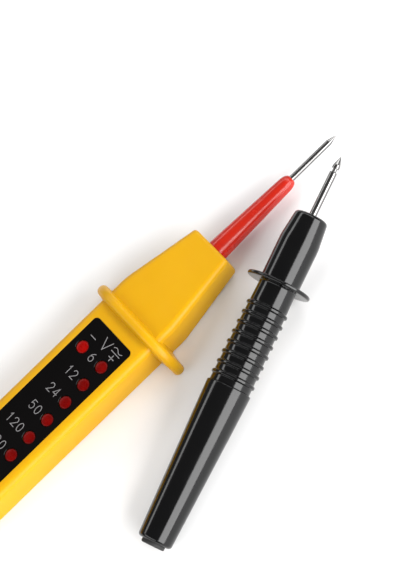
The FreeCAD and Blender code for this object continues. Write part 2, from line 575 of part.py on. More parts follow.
# ---- round probe: turned parts about one axis, resting on the guard disc's rim and on its rear end -----------------------
def lay_down(body):
    turn = FreeCAD.Rotation(V(0, 0, 1), z.probe_yaw.v).multiply(FreeCAD.Rotation(V(1, 0, 0), z.probe_pitch.v))
    body.Placement = FreeCAD.Placement(V(z.probe_x.v, z.probe_y.v, z.probe_z.v), turn)
    bind(body, "Placement.Base.x", z.probe_x)
    bind(body, "Placement.Base.y", z.probe_y)
    bind(body, "Placement.Base.z", z.probe_z)


handle = new_body("probe_handle_body")
slope = (z.grip_dia_end - z.grip_dia) / 2 / z.grip_end
outline = [(z.nose_bore / 2, z.nose_end), (z.nose_dia / 2 - z.nose_chamfer, z.nose_end), (z.nose_dia / 2, z.nose_end - z.nose_chamfer),
           (z.nose_dia_full / 2, z.nose_full), (z.nose_dia_full / 2, z.disc_thick / 2), (z.disc_dia / 2, z.disc_thick / 2),
           (z.disc_dia / 2, -z.disc_thick / 2), (z.grip_dia / 2, -z.disc_thick / 2)]
for k in range(8):
    y0 = z.ring_first + z.ring_pitch * k
    y1 = y0 + z.ring_wide
    rr = (z.ring_dia_first + (z.ring_dia_last - z.ring_dia_first) * (k / 7.0)) / 2
    outline += [(z.grip_dia / 2 + slope * y0, -y0), (rr, -(y0 + 0.2)), (rr, -(y1 - 0.2)), (z.grip_dia / 2 + slope * y1, -y1)]
outline += [(z.grip_dia_end / 2, -z.grip_end), (z.spigot_dia / 2, -z.grip_end), (z.spigot_dia / 2, -z.spigot_end),
            (z.handle_bore / 2, -z.spigot_end), (z.handle_bore / 2, z.nose_bore_start), (z.nose_bore / 2, z.nose_bore_start)]
hd = revolve(handle, polygon(handle, "HandleProfile", outline))
rims = edges_of(hd, lambda b, e: hasattr(e.Curve, "Radius") and abs(e.Curve.Radius - z.disc_dia.v / 2) < 0.01)
hd = fillet(handle, hd, rims, 0.5)
lay_down(handle)
keep("probe_handle", handle)

tail = new_body("probe_tail_body")
tl = revolve(tail, polygon(tail, "TailProfile", [
    (z.tail_bore / 2, -z.grip_end), (z.tail_dia / 2 - 0.3, -z.grip_end), (z.tail_dia / 2, -(z.grip_end + 0.3)), (z.tail_dia_mid / 2, -z.tail_mid),
    (z.tail_dia_end / 2, -z.tail_end), (z.inlet_neck / 2 + 0.1, -z.tail_end), (z.inlet_neck / 2 + 0.1, -(z.tail_end - z.tail_wall_rear)),
    (z.tail_bore_rear / 2, -(z.tail_end - z.tail_wall_rear)), (z.tail_bore_rear / 2, -(z.spigot_end + 1.0)),
    (z.tail_bore / 2, -(z.spigot_end + 1.0))]))
fillet(tail, tl, edges_of(tl, circle_at(y=-z.tail_end, radius=z.tail_dia_end / 2)), z.tail_round)
lay_down(tail)
keep("probe_tail", tail)

ppin = new_body("probe_pin_body")
nr = z.neck_dia / 2
pr = z.probe_pin_dia / 2
revolve(ppin, polygon(ppin, "ProbePinProfile", [
    (0, z.probe_pin_back), (z.probe_pin_shank / 2, z.probe_pin_back), (z.probe_pin_shank / 2, z.nose_end), (pr, z.nose_end),
    (pr, z.probe_tip - z.barb_long - z.neck_long - 0.3), (nr, z.probe_tip - z.barb_long - z.neck_long), (nr, z.probe_tip - z.barb_long),
    (pr - 0.05, z.probe_tip - z.barb_long), (pr, z.probe_tip - z.barb_long + 0.4), (pr - 0.1, z.probe_tip - z.barb_long + 1.2),
    (0.15, z.probe_tip - 0.1), (0, z.probe_tip)]))
lay_down(ppin)
keep("probe_pin", ppin)

socket = new_body("pin_socket_body")
revolve(socket, polygon(socket, "SocketProfile", [
    (0, z.probe_pin_back - 0.5), (z.probe_pin_shank / 2 + 0.02, z.probe_pin_back - 0.5), (z.probe_pin_shank / 2 + 0.02, z.socket_front),
    (z.socket_dia / 2, z.socket_front), (z.socket_dia / 2, -z.socket_back), (z.cup_bore / 2, -z.socket_back),
    (z.cup_bore / 2, -(z.socket_back - z.cup_deep)), (0, -(z.socket_back - z.cup_deep))]))
lay_down(socket)
keep("pin_socket", socket)

inlet = new_body("probe_lead_bush_body")
revolve(inlet, polygon(inlet, "InletProfile", [
    (z.inlet_bore / 2, -(z.tail_end + z.inlet_lip)), (z.inlet_flange / 2 - 0.5, -(z.tail_end + z.inlet_lip)),
    (z.inlet_flange / 2, -(z.tail_end + 0.4)), (z.inlet_flange / 2, -z.tail_end), (z.inlet_neck / 2, -z.tail_end),
    (z.inlet_neck / 2, -(z.tail_end - z.tail_wall_rear)), (z.tail_bore_rear / 2 - 0.1, -(z.tail_end - z.tail_wall_rear)),
    (z.tail_bore_rear / 2 - 0.1, -(z.tail_end - z.tail_wall_rear - z.inlet_lip)), (z.inlet_bore / 2, -(z.tail_end - z.tail_wall_rear - z.inlet_lip))]))
lay_down(inlet)
keep("probe_lead_bush", inlet)

# ---- check and write -----------------------------------------------------------------------------------------------------
doc.recompute()
for obj in doc.Objects:
    for bad in ("Invalid", "Error"):
        if bad in obj.State:
            raise RuntimeError("%s is %s: %s" % (obj.Label, bad, obj.State))
os.makedirs("parts", exist_ok=True)
for label, obj in exported.items():
    shape = obj.Shape
    if shape.isNull() or not shape.isValid():
        raise RuntimeError("%s has a bad shape" % label)
    if not shape.Solids:
        raise RuntimeError("%s has no solid" % label)
    shape.exportStep("parts/%s.step" % label)
    b = shape.optimalBoundingBox(False)
    print("%-22s solids %d volume %9.2f  x %7.2f %7.2f  y %7.2f %7.2f  z %6.2f %6.2f" % (
        label, len(shape.Solids), shape.Volume, b.XMin, b.XMax, b.YMin, b.YMax, b.ZMin, b.ZMax))
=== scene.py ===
import json
import math

import bmesh
import bpy
from mathutils import Matrix, Vector


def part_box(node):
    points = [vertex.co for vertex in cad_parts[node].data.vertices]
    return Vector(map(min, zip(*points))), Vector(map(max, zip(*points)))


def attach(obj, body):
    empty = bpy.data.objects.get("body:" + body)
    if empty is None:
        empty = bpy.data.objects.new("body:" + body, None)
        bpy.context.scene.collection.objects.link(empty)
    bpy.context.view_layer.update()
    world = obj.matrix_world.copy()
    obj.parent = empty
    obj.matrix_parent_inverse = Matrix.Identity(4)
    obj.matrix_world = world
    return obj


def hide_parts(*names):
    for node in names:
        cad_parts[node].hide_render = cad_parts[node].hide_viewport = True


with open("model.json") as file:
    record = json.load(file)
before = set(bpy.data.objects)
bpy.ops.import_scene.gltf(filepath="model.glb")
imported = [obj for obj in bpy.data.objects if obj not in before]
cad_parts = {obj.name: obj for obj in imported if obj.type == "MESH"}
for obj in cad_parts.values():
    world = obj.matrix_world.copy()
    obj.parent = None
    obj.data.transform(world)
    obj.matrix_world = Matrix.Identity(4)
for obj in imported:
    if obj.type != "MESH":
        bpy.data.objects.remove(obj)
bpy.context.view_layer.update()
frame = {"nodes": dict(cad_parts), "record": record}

MM = 0.001
rec = frame["record"]
mounts = {m["name"]: m for m in rec["mounts"]}


def mm(v):
    return Vector(v) * MM


def nbox(node):
    lo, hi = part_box(node)
    return lo / MM, hi / MM


# ------------------------------------------------------------------------------------------------------------------
# mesh helpers: everything below is in millimetres and is scaled once, when the mesh is made
# ------------------------------------------------------------------------------------------------------------------
def make_object(name, verts, faces, smooth=True, angle=35.0):
    me = bpy.data.meshes.new(name)
    me.from_pydata([tuple(Vector(v) * MM) for v in verts], [], faces)
    me.validate()
    bm = bmesh.new()
    bm.from_mesh(me)
    bmesh.ops.remove_doubles(bm, verts=bm.verts, dist=1e-7)
    bmesh.ops.recalc_face_normals(bm, faces=bm.faces)
    bm.to_mesh(me)
    bm.free()
    ob = bpy.data.objects.new(name, me)
    bpy.context.scene.collection.objects.link(ob)
    if smooth:
        shade(ob, angle)
    return ob


def shade(ob, angle=35.0):
    for p in ob.data.polygons:
        p.use_smooth = True
    ob.data.set_sharp_from_angle(angle=math.radians(angle))


def weighted(ob):
    m = ob.modifiers.new("face weighted normals", "WEIGHTED_NORMAL")
    m.keep_sharp = True
    m.weight = 100
    return ob


def rounded(points, segs=6):
    """Round the corners of an open profile. Each point is (r, y) or (r, y, radius)."""
    out = []
    n = len(points)
    for i, p in enumerate(points):
        rad = p[2] if len(p) > 2 else 0.0
        here = Vector((p[0], p[1]))
        if rad <= 0 or i in (0, n - 1):
            out.append(here)
            continue
        a = Vector(points[i - 1][:2]) - here
        b = Vector(points[i + 1][:2]) - here
        la, lb = a.length, b.length
        a.normalize()
        b.normalize()
        ang = math.acos(max(-1.0, min(1.0, a.dot(b))))
        if ang > math.pi - 1e-3:
            out.append(here)
            continue
        cut = min(rad / math.tan(ang / 2), la * 0.49, lb * 0.49)
        rad = cut * math.tan(ang / 2)
        centre = here + (a + b).normalized() * (rad / math.sin(ang / 2))
        s, e = here + a * cut, here + b * cut
        a0 = math.atan2(s.y - centre.y, s.x - centre.x)
        a1 = math.atan2(e.y - centre.y, e.x - centre.x)
        d = (a1 - a0 + math.pi) % (2 * math.pi) - math.pi
        k = max(2, int(round(segs * abs(d) / (math.pi / 2))) + 1)
        for j in range(k + 1):
            t = a0 + d * j / k
            out.append(centre + Vector((math.cos(t), math.sin(t))) * rad)
    return out


def spread(profile, step):
    """Divide long stretches of a profile, so that the faces stay near square."""
    out = [profile[0]]
    for a, b in zip(profile, profile[1:]):
        n = max(1, int(math.ceil((b - a).length / step)))
        for j in range(1, n + 1):
            out.append(a.lerp(b, j / n))
    return out


def lathe(name, points, place, around=96, step=2.0, closed=False, angle=35.0, corner=6):
    """Turn a profile of (radius, distance along the axis) about local +Y, and put it where the frame says.
    An open profile starts and ends on the axis; a closed one is a ring."""
    pts = list(points)
    if closed:
        prof = rounded([pts[-1]] + pts + [pts[0]], corner)[1:-1]
        prof = spread(prof + [prof[0]], step)[:-1]
    else:
        prof = spread(rounded(pts, corner), step)
    verts, rings = [], []
    for p in prof:
        if p.x < 1e-6:
            verts.append(place @ Vector((0, p.y, 0)))
            rings.append([len(verts) - 1])
        else:
            ring = []
            for j in range(around):
                t = 2 * math.pi * j / around
                verts.append(place @ Vector((p.x * math.cos(t), p.y, p.x * math.sin(t))))
                ring.append(len(verts) - 1)
            rings.append(ring)
    faces = []
    pairs = list(zip(rings, rings[1:]))
    if closed:
        pairs.append((rings[-1], rings[0]))
    for a, b in pairs:
        if len(a) == 1 and len(b) == 1:
            continue
        for j in range(around):
            k = (j + 1) % around
            if len(a) == 1:
                faces.append((a[0], b[j], b[k]))
            elif len(b) == 1:
                faces.append((a[j], b[0], a[k]))
            else:
                faces.append((a[j], b[j], b[k], a[k]))
    return make_object(name, verts, faces, angle=angle)


def round_rect(left, right, low, high, r_low, r_high, segs=8, step=2.5):
    """Counter-clockwise outline with two corner radii and divided sides."""
    pts = []
    corners = [(right - r_low, low + r_low, r_low, -90), (right - r_high, high - r_high, r_high, 0),
               (left + r_high, high - r_high, r_high, 90), (left + r_low, low + r_low, r_low, 180)]
    arcs = []
    for cx, cy, r, a0 in corners:
        arcs.append([(cx + r * math.cos(math.radians(a0 + 90 * j / segs)), cy + r * math.sin(math.radians(a0 + 90 * j / segs)))
                     for j in range(segs + 1)])
    for i, arc in enumerate(arcs):
        pts.extend(arc)
        a, b = Vector(arc[-1]), Vector(arcs[(i + 1) % 4][0])
        n = step if isinstance(step, int) else max(1, int(round((b - a).length / step)))
        for j in range(1, n):
            pts.append(tuple(a.lerp(b, j / n)))
    return pts


def prism(name, outline, levels, to3d):
    """Stack of outlines: levels is a list of (outline, height); to3d turns (x, y, height) into a point."""
    verts, faces = [], []
    n = len(levels[0][0])
    for pts, level in levels:
        for p in pts:
            verts.append(to3d(p[0], p[1], level))
    for k in range(len(levels) - 1):
        for j in range(n):
            i = (j + 1) % n
            faces.append((k * n + j, k * n + i, (k + 1) * n + i, (k + 1) * n + j))
    faces.append(tuple(reversed(range(n))))
    faces.append(tuple(range((len(levels) - 1) * n, len(levels) * n)))
    return make_object(name, verts, faces, smooth=False)


def combine(target, tools, operation):
    """Exact boolean of the target with each tool in turn; the tools are removed."""
    for tool in tools:
        m = target.modifiers.new("shape", "BOOLEAN")
        m.operation = operation
        m.solver = "EXACT"
        m.object = tool
        bpy.context.view_layer.update()
        deps = bpy.context.evaluated_depsgraph_get()
        me = bpy.data.meshes.new_from_object(target.evaluated_get(deps))
        target.modifiers.clear()
        old = target.data
        target.data = me
        bpy.data.meshes.remove(old)
        me.name = target.name
        bpy.data.objects.remove(tool)
    return target


# ------------------------------------------------------------------------------------------------------------------
# materials
# ------------------------------------------------------------------------------------------------------------------
def new_mat(name):
    mat = bpy.data.materials.new(name)
    mat.use_nodes = True
    nt = mat.node_tree
    for n in list(nt.nodes):
        nt.nodes.remove(n)
    out = nt.nodes.new("ShaderNodeOutputMaterial")
    sh = nt.nodes.new("ShaderNodeBsdfPrincipled")
    nt.links.new(sh.outputs["BSDF"], out.inputs["Surface"])
    co = nt.nodes.new("ShaderNodeTexCoord")
    return mat, nt, sh, co


def node(nt, kind, **values):
    n = nt.nodes.new(kind)
    for k, v in values.items():
        if hasattr(n, k) and not isinstance(v, tuple):
            setattr(n, k, v)
        else:
            n.inputs[k].default_value = v
    return n


def noise(nt, co, scale, detail=3.0, rough=0.5, stretch=None):
    src = co.outputs["Object"]
    if stretch:
        mp = nt.nodes.new("ShaderNodeMapping")
        mp.inputs["Scale"].default_value = stretch
        nt.links.new(src, mp.inputs["Vector"])
        src = mp.outputs["Vector"]
    n = nt.nodes.new("ShaderNodeTexNoise")
    n.inputs["Scale"].default_value = scale
    n.inputs["Detail"].default_value = detail
    n.inputs["Roughness"].default_value = rough
    nt.links.new(src, n.inputs["Vector"])
    return n.outputs["Fac"]


def ramp(nt, src, stops):
    r = nt.nodes.new("ShaderNodeValToRGB")
    els = r.color_ramp.elements
    while len(els) > len(stops):
        els.remove(els[-1])
    while len(els) < len(stops):
        els.new(1.0)
    for e, (pos, col) in zip(els, stops):
        e.position = pos
        e.color = (*col, 1.0) if len(col) == 3 else col
    nt.links.new(src, r.inputs["Fac"])
    return r.outputs["Color"]


def remap(nt, src, a, b, lo, hi):
    r = nt.nodes.new("ShaderNodeMapRange")
    r.inputs["From Min"].default_value = a
    r.inputs["From Max"].default_value = b
    r.inputs["To Min"].default_value = lo
    r.inputs["To Max"].default_value = hi
    nt.links.new(src, r.inputs["Value"])
    return r.outputs["Result"]


def bump(nt, sh, height, strength, distance, chain=None):
    b = nt.nodes.new("ShaderNodeBump")
    b.inputs["Strength"].default_value = strength
    b.inputs["Distance"].default_value = distance
    nt.links.new(height, b.inputs["Height"])
    if chain:
        nt.links.new(chain, b.inputs["Normal"])
    nt.links.new(b.outputs["Normal"], sh.inputs["Normal"])
    return b.outputs["Normal"]


def moulded(name, dark, light, rough=(0.28, 0.4), grain=9000.0, grain_height=0.000004, wave=220.0, wave_height=0.00003, sss=0.0, coat=0.0,
            scuffs=0.0, sss_radius=(0.002, 0.001, 0.0004), spec=0.5):
    """Injection-moulded plastic: slow colour drift, faint sink and flow waves, fine tool grain, and light handling marks."""
    mat, nt, sh, co = new_mat(name)
    drift = noise(nt, co, 38.0, 4.0, 0.55)
    nt.links.new(ramp(nt, drift, [(0.3, dark), (0.7, light)]), sh.inputs["Base Color"])
    patches = noise(nt, co, 130.0, 5.0, 0.6)
    rough_out = remap(nt, patches, 0.3, 0.7, *rough)
    if scuffs:
        # hair scratches of two directions: stretched noise cut to thin lines, only where a patch mask lets them through
        marks = None
        for stretch, thr in (((0.16, 5.0, 3.0), 0.66), ((4.0, 0.25, 3.0), 0.68)):
            line = remap(nt, noise(nt, co, 900.0, 2.0, 0.5, stretch), thr, thr + 0.05, 0.0, 1.0)
            mask = remap(nt, noise(nt, co, 55.0, 2.0, 0.5), 0.5, 0.68, 0.0, 1.0)
            mul = nt.nodes.new("ShaderNodeMath")
            mul.operation = "MULTIPLY"
            nt.links.new(line, mul.inputs[0])
            nt.links.new(mask, mul.inputs[1])
            if marks is None:
                marks = mul.outputs[0]
            else:
                mx = nt.nodes.new("ShaderNodeMath")
                mx.operation = "MAXIMUM"
                nt.links.new(marks, mx.inputs[0])
                nt.links.new(mul.outputs[0], mx.inputs[1])
                marks = mx.outputs[0]
        add = nt.nodes.new("ShaderNodeMath")
        add.operation = "MULTIPLY_ADD"
        add.inputs[1].default_value = scuffs
        nt.links.new(marks, add.inputs[0])
        nt.links.new(rough_out, add.inputs[2])
        rough_out = add.outputs[0]
    nt.links.new(rough_out, sh.inputs["Roughness"])
    n1 = bump(nt, sh, noise(nt, co, wave, 2.0, 0.5), 0.35, wave_height)
    bump(nt, sh, noise(nt, co, grain, 2.0, 0.6), 0.6, grain_height, n1)
    sh.inputs["Specular IOR Level"].default_value = spec
    if sss:
        sh.inputs["Subsurface Weight"].default_value = sss
        sh.inputs["Subsurface Radius"].default_value = sss_radius
        sh.inputs["Subsurface Scale"].default_value = 1.0
    if coat:
        sh.inputs["Coat Weight"].default_value = coat
        sh.inputs["Coat Roughness"].default_value = 0.08
    return mat


def metal(name, dark, light, rough=(0.08, 0.2), lines=None, aniso=0.0):
    mat, nt, sh, co = new_mat(name)
    sh.inputs["Metallic"].default_value = 1.0
    nt.links.new(ramp(nt, noise(nt, co, 300.0, 4.0, 0.6), [(0.3, dark), (0.75, light)]), sh.inputs["Base Color"])
    nt.links.new(remap(nt, noise(nt, co, 700.0, 5.0, 0.65), 0.3, 0.75, *rough), sh.inputs["Roughness"])
    if lines:
        bump(nt, sh, noise(nt, co, 1200.0, 2.0, 0.5, lines), 0.25, 0.000006)
    if aniso:
        sh.inputs["Anisotropic"].default_value = aniso
    return mat


def lin(r, g, b):
    """Linear colour from ordinary 0-255 values."""
    def f(c):
        c = c / 255.0
        return c / 12.92 if c <= 0.04045 else ((c + 0.055) / 1.055) ** 2.4
    return (f(r), f(g), f(b))


M = {}
M["yellow"] = moulded("yellow_abs", lin(199, 147, 4), lin(205, 153, 7), rough=(0.34, 0.44), spec=0.22, sss=0.12, scuffs=0.07,
                      sss_radius=(0.0016, 0.0007, 0.0001))
M["black"] = moulded("black_gloss_plastic", (0.0006, 0.0006, 0.0007), (0.0014, 0.0014, 0.0016), rough=(0.1, 0.16), scuffs=0.1,
                     wave_height=0.000012, grain_height=0.0000015, spec=0.42)
M["red"] = moulded("red_sleeve_plastic", lin(180, 26, 6), lin(187, 32, 9), wave_height=0.0, grain_height=0.000001, rough=(0.24, 0.28), spec=0.5, sss=0.1, scuffs=0.07,
                   sss_radius=(0.0012, 0.0002, 0.0001))
M["panel"] = moulded("black_label_plate", (0.001, 0.0008, 0.0008), (0.002, 0.0016, 0.0016), rough=(0.1, 0.16), grain=14000.0,
                     grain_height=0.0000006, wave_height=0.000003, scuffs=0.08, spec=0.22)
M["rubber"] = moulded("matt_black_rubber", (0.012, 0.012, 0.012), (0.022, 0.022, 0.022), rough=(0.6, 0.75), grain=6000.0, grain_height=0.000012)
M["print"] = moulded("grey_print_ink", lin(112, 110, 111), lin(128, 126, 127), rough=(0.45, 0.6), grain=16000.0, grain_height=0.000002)
M["pin"] = metal("bright_nickel", (0.19, 0.187, 0.184), (0.25, 0.246, 0.242), rough=(0.07, 0.15), lines=(0.3, 9.0, 0.3))
M["steel"] = metal("zinc_plated_steel", (0.42, 0.42, 0.43), (0.58, 0.58, 0.6), rough=(0.25, 0.4), lines=(4.0, 4.0, 4.0))
M["brass"] = metal("bare_brass", (0.55, 0.36, 0.12), (0.72, 0.5, 0.2), rough=(0.2, 0.35), lines=(0.4, 8.0, 0.4))
M["board"] = moulded("green_solder_mask", (0.006, 0.07, 0.03), (0.012, 0.11, 0.045), rough=(0.3, 0.42), grain=5000.0, grain_height=0.00001)
M["resistor"] = moulded("resistor_lacquer", (0.08, 0.22, 0.36), (0.12, 0.3, 0.45), rough=(0.35, 0.5))
M["epoxy"] = moulded("black_epoxy", (0.008, 0.008, 0.008), (0.016, 0.016, 0.016), rough=(0.45, 0.6))
M["zener"] = moulded("orange_glass", (0.5, 0.11, 0.02), (0.62, 0.17, 0.03), rough=(0.08, 0.15))


def led_mat(name, dark, light, glow):
    """Diffused red lens resin: colour that drifts a little at random, some subsurface scattering, smooth skin."""
    mat, nt, sh, co = new_mat(name)
    base = ramp(nt, noise(nt, co, 500.0, 3.0, 0.5), [(0.3, dark), (0.7, light)])
    nt.links.new(base, sh.inputs["Base Color"])
    nt.links.new(remap(nt, noise(nt, co, 1500.0, 3.0, 0.5), 0.3, 0.7, 0.24, 0.34), sh.inputs["Roughness"])
    bump(nt, sh, noise(nt, co, 7000.0, 2.0, 0.5), 0.4, 0.000002)
    sh.inputs["Specular IOR Level"].default_value = 0.12
    sh.inputs["Subsurface Weight"].default_value = 0.25
    sh.inputs["Subsurface Radius"].default_value = (0.0012, 0.0002, 0.0001)
    sh.inputs["Subsurface Scale"].default_value = 1.0
    if glow:
        sh.inputs["Emission Color"].default_value = (1.0, 0.02, 0.005, 1.0)
        sh.inputs["Emission Strength"].default_value = glow
    return mat


M["led"] = led_mat("red_diffused_lens", lin(95, 1, 0), lin(112, 3, 1), 0.0)
M["led_bright"] = led_mat("red_diffused_lens_bright", lin(129, 1, 0), lin(143, 5, 2), 0.015)


def dress(ob, key):
    ob.data.materials.clear()
    ob.data.materials.append(M[key])
    return ob


def redress(name, key):
    """A CAD node keeps its shape and gets a finished material."""
    ob = frame["nodes"][name]
    if not ob.material_slots:
        ob.data.materials.append(M[key])
    for s in ob.material_slots:
        s.material = M[key]


def stand_in(ob, body, slot, key, *nodes):
    dress(ob, key)
    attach(ob, body)
    if nodes:
        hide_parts(*nodes)
    return ob


for name, key in (("circuit_board", "board"), ("dropper_resistors", "resistor"), ("rectifier_diodes", "epoxy"),
                  ("zener_diodes", "zener"), ("limiter_transistors", "epoxy"), ("board_screws", "steel"),
                  ("pin_terminal", "brass"), ("pin_socket", "brass")):
    redress(name, key)


def lerp_outline(a, b, t):
    return [((1 - t) * p[0] + t * q[0], (1 - t) * p[1] + t * q[1]) for p, q in zip(a, b)]


def joined(name, obs):
    """One object from several; material slots follow in order."""
    bm = bmesh.new()
    mats = []
    for ob in obs:
        start = len(bm.faces)
        bm.from_mesh(ob.data)
        bm.faces.ensure_lookup_table()
        base = []
        for m in ob.data.materials:
            if m not in mats:
                mats.append(m)
            base.append(mats.index(m))
        for f in bm.faces[start:]:
            f.material_index = base[f.material_index] if base else 0
    me = bpy.data.meshes.new(name)
    bm.to_mesh(me)
    bm.free()
    for ob in obs:
        old = ob.data
        bpy.data.objects.remove(ob)
        bpy.data.meshes.remove(old)
    for m in mats:
        me.materials.append(m)
    ob = bpy.data.objects.new(name, me)
    bpy.context.scene.collection.objects.link(ob)
    return ob


def flat(x, y, level):
    return (x, y, level)


def upright(x, zz, level):
    return (x, level, zz)


def circle(cx, cy, r, n=64):
    return [(cx + r * math.cos(2 * math.pi * i / n), cy + r * math.sin(2 * math.pi * i / n)) for i in range(n)]


def rod(name, cx, cy, r, low, high, n=64):
    return prism(name, circle(cx, cy, r, n), [(circle(cx, cy, r, n), low), (circle(cx, cy, r, n), high)], flat)


RISE = Matrix.Rotation(math.radians(90.0), 4, "X")       # turns a lathe's own axis to +Z

# ------------------------------------------------------------------------------------------------------------------
# where things are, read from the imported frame
# ------------------------------------------------------------------------------------------------------------------
H0, H1 = nbox("front_housing")
P0, P1 = nbox("label_panel")
C0, C1 = nbox("rear_cover")
BRD0, BRD1 = nbox("circuit_board")
L0, L1 = nbox("voltage_leds")
Q0, Q1 = nbox("polarity_leds")
SC0, SC1 = nbox("cover_screws")
BS0, BS1 = nbox("board_screws")
SL0, SL1 = nbox("probe_sleeve")
TP0, TP1 = nbox("tester_pin")
G0, G1 = nbox("lead_gland")
pin_z = mounts["tester_tip"]["pos_m"][2] / MM
gland_z = mounts["tester_lead_inlet"]["pos_m"][2] / MM
tip = mounts["probe_tip"]
axis = Vector(tip["axis"]).normalized()
side = axis.cross(Vector((0, 0, 1))).normalized()
over = side.cross(axis)
centre = Vector(tip["pos_m"]) / MM - axis * 30.65      # middle of the probe's guard disc
PROBE = Matrix.Translation(centre) @ Matrix((side, axis, over)).transposed().to_4x4()
PIN = Matrix.Translation(Vector((0, 0, pin_z)))
GLAND = Matrix.Translation(Vector((0, 0, gland_z)))

rear, head_end, top = H0.y, H1.y, P1.z
half = P1.x + 3.5
taper = 7.5
roof = top - 1.8
hollow = C1.x + 0.15
lamp_xy = [((Q0.x + 2.4), (Q0.y + Q1.y) / 2), ((Q1.x - 2.4), (Q0.y + Q1.y) / 2)]
first_y, last_y = L1.y - 2.4, L0.y + 2.4
lamp_xy += [((L0.x + L1.x) / 2, first_y + (last_y - first_y) * k / 5.0) for k in range(6)]
screw_xy = [(x, y) for x in (SC0.x + 2.0, SC1.x - 2.0) for y in (SC1.y - 2.0, SC0.y + 2.0)]
bscrew_xy = [((BS0.x + BS1.x) / 2, BS1.y - 1.9), ((BS0.x + BS1.x) / 2, BS0.y + 1.9)]

# ------------------------------------------------------------------------------------------------------------------
# front housing: soft-shouldered moulding, finger guard with a rounded rim and a flared root, seat for the label
# ------------------------------------------------------------------------------------------------------------------
def along(y):
    """How far the head has tapered at y: straight, with a soft shoulder where it starts."""
    span, soft, d = head_end - taper, 2.2, y - taper
    if d <= -soft:
        return 0.0
    if d >= soft:
        return d / span
    return (d + soft) ** 2 / (4 * soft * span)


def body_outline(y, inset):
    k = along(y)
    w = half + (8.05 - half) * k - inset
    low = 1.1 * k + inset
    high = top + (11.2 - top) * k - inset
    return round_rect(-w, w, low, high, 1.5 - inset * 0.6, 2.3 - 0.5 * k - inset * 0.6, 8, 8)


levels = []
for j in range(9):
    t = math.radians(90 * j / 8)
    levels.append((body_outline(rear, 1.0 - math.sin(t)), rear + 1.0 - math.cos(t)))
y = rear + 4.0
while y < taper - 3.0:
    levels.append((body_outline(y, 0.0), y))
    y += 4.0
for j in range(13):
    y = taper - 2.4 + 4.8 * j / 12
    levels.append((body_outline(y, 0.0), y))
y = taper + 4.5
while y < head_end - 2.0:
    levels.append((body_outline(y, 0.0), y))
    y += 2.8
for j in range(9):
    t = math.radians(90 * j / 8)
    levels.append((body_outline(head_end - 1.0 + math.sin(t), 1.0 - math.cos(t)), head_end - 1.0 + math.sin(t)))
housing = prism("housing_moulding", None, levels, upright)

gw, gt, gy = (H1.x - H0.x) / 2, H1.z, -0.45
rim, rr, rise = 1.75, 1.55, 0.65


def guard_outline(inset):
    return round_rect(-gw + inset, gw - inset, 0.02, gt - inset, 1.5, 13.6 - inset, 20, 8)


face = guard_outline(1.6)
root = round_rect(-(half - 0.35), half - 0.35, 0.03, top - 0.35, 1.5, 3.0, 20, 8)
half_stack = []
for j in range(9):
    h = rise * (1 - j / 8.0)
    half_stack.append((lerp_outline(root, face, 1 - math.sqrt(h / rise)), rim + h))
for j in range(1, 11):
    a = math.radians(90 * j / 10)
    half_stack.append((guard_outline(rr * (1 - math.sin(a))), rim - rr + rr * math.cos(a)))
stack = [(o, gy - s) for o, s in half_stack] + [(o, gy + s) for o, s in reversed(half_stack)]
guard = prism("guard_ring", None, stack, upright)
combine(housing, [guard], "UNION")

cavity = prism("cavity", None, [(round_rect(-hollow, hollow, rear + 3.0, C1.y + 0.15, 1.6, 1.6), -0.5),
                                (round_rect(-hollow, hollow, rear + 3.0, C1.y + 0.15, 1.6, 1.6), roof)], flat)
nose_hollow = prism("nose_hollow", None, [(round_rect(-hollow + 0.6, hollow - 0.6, 1.9, roof - 0.4, 1.0, 1.2, 6, 4), C1.y - 0.5),
                                          (round_rect(-7.65, 7.65, 2.0, 9.6, 1.0, 1.2, 6, 4), 21.0)], upright)
combine(housing, [cavity, nose_hollow], "DIFFERENCE")
bosses = joined("bosses", [rod("boss", x, y, 2.7, C1.z, roof + 0.2) for x, y in screw_xy]
                + [rod("boss", x, y, 2.3, BRD1.z, roof + 0.2) for x, y in bscrew_xy])
combine(housing, [bosses], "UNION")


def panel_outline(grow):
    return round_rect(P0.x - grow, P1.x + grow, P0.y - grow, P1.y + grow, 1.5 + grow, 1.5 + grow, 10, 6)


seat = prism("seat", None, [(panel_outline(0.05), P0.z), (panel_outline(0.05), top - 0.16), (panel_outline(0.09), top - 0.07),
                            (panel_outline(0.2), top + 0.02), (panel_outline(0.2), top + 0.6)], flat)
tools = [seat]
tools.append(joined("lamp_holes", [rod("lamp_hole", x, y, 2.5, roof - 0.5, P0.z + 0.2) for x, y in lamp_xy]))
tools.append(joined("pilots", [rod("pilot", x, y, 1.08, C1.z - 0.2, 9.0, 32) for x, y in screw_xy]
                    + [rod("pilot", x, y, 1.08, BRD1.z - 0.2, 10.8, 32) for x, y in bscrew_xy]))
tools.append(joined("axial_bores", [
    lathe("nose_bore", [(0, 20.0), (3.05, 20.0), (3.05, head_end - 0.25), (3.3, head_end + 0.05), (3.3, head_end + 1.5), (0, head_end + 1.5)], PIN),
    lathe("lead_bore", [(0, rear - 1.0), (3.5, rear - 1.0), (3.5, rear + 4.0), (0, rear + 4.0)], GLAND)]))
combine(housing, tools, "DIFFERENCE")
shade(housing, 32.0)
weighted(housing)
stand_in(housing, "tester", "yellow_plastic", "yellow", "front_housing")

